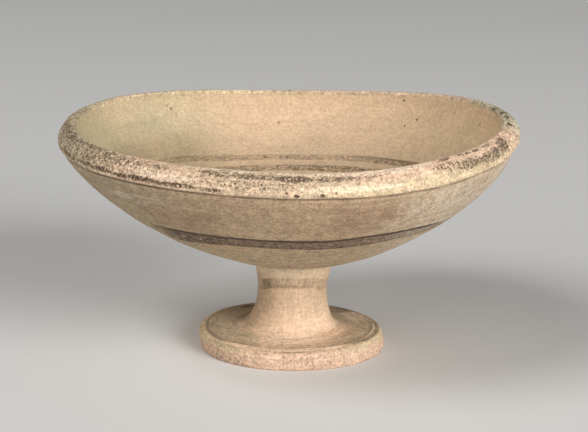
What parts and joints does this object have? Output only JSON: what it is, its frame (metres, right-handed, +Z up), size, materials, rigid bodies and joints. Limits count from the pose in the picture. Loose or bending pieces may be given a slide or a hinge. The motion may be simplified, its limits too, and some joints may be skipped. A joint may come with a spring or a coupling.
{
  "type": "pedestal plate",
  "caption": "Ancient fired-clay pedestal plate: a wide shallow bowl with a heavy rounded lip on a short waisted stem and a disc foot, with faint painted bands.",
  "frame": {"origin": "on the table, under the centre of the outline seen from above, which is the rim's centre", "axes": "+Z up, +X to the right and +Y away from the viewer in the picture's view; the rim is slightly longer along Y"},
  "size_m": [0.2352, 0.2448, 0.1223],
  "materials": {
    "fired_clay": "matt, porous, worn cream slip with faint brown-black painted bands"
  },
  "bodies": {
    "root": {"pedestal_plate": "fired_clay"}
  },
  "joints": []
}
